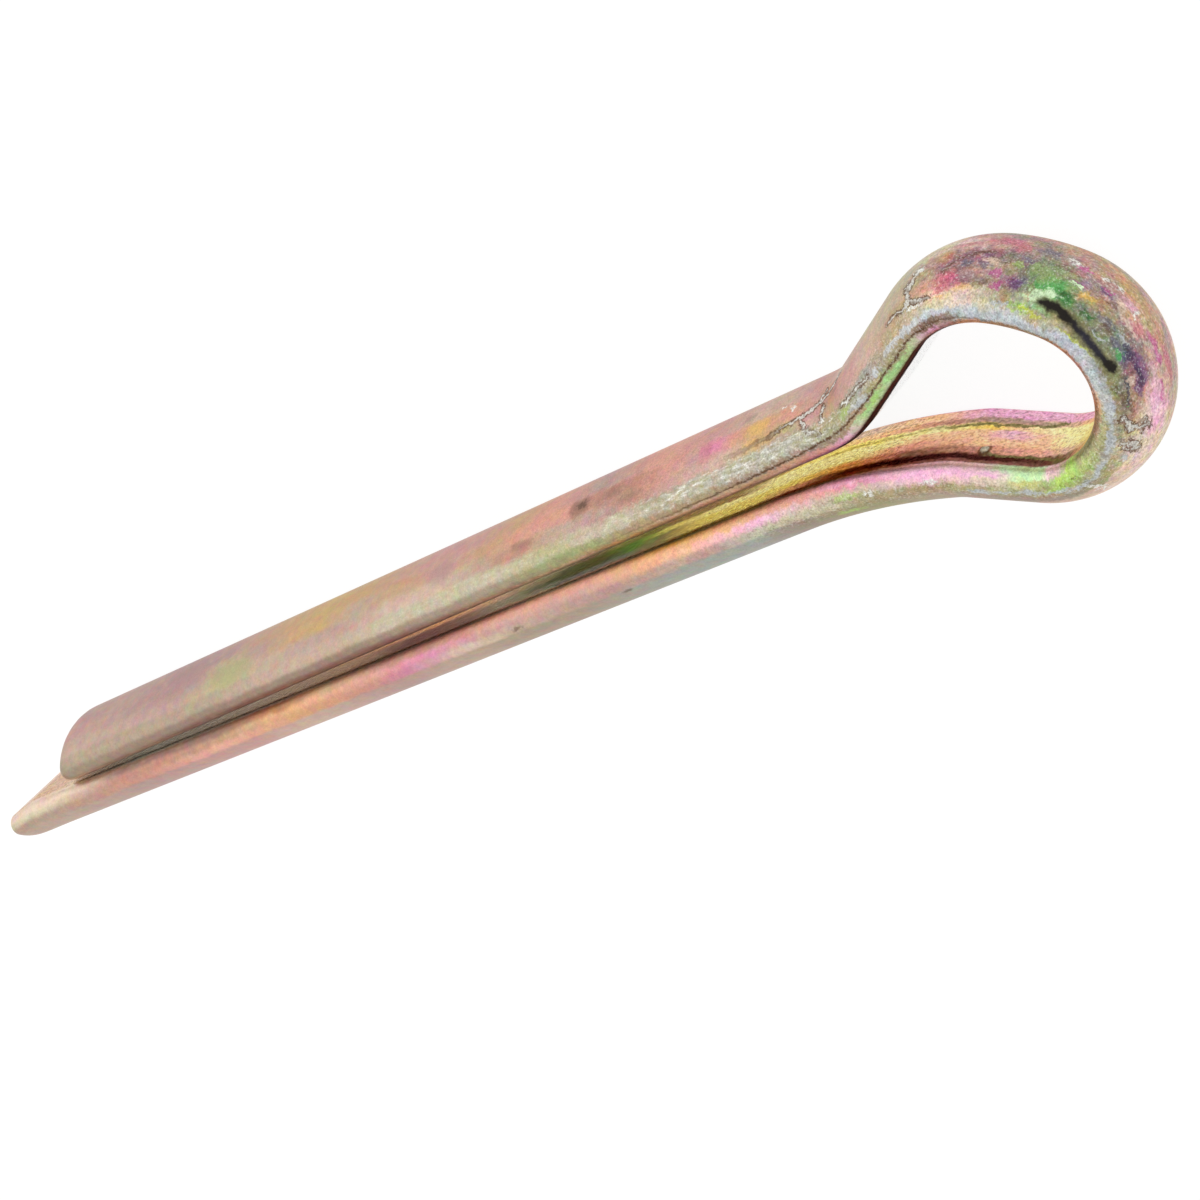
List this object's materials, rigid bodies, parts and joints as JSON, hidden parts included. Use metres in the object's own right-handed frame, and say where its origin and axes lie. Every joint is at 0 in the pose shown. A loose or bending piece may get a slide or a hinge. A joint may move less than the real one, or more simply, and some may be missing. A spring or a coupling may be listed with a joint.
{
  "type": "cotter pin",
  "caption": "Split cotter pin of half-round wire: a straight two-legged shank with an offset teardrop eye and one leg longer than the other.",
  "frame": {"origin": "midway between the flats of the two legs, in the middle of the wire's width, where the short leg starts to bend outwards into the eye", "axes": "+X along the shank from the tips to the eye, +Y across the flats towards the short leg, +Z along the axis of the eye's opening; the pin lies on its side with its lowest line at z = -2.25 mm"},
  "size_m": [0.0557, 0.009, 0.0044],
  "materials": {
    "plated_wire": "zinc plated and yellow passivated, iridescent satin metal, rubbed pale along the edges of the round side"
  },
  "bodies": {
    "root": {"cotter_pin": "plated_wire"}
  },
  "joints": []
}
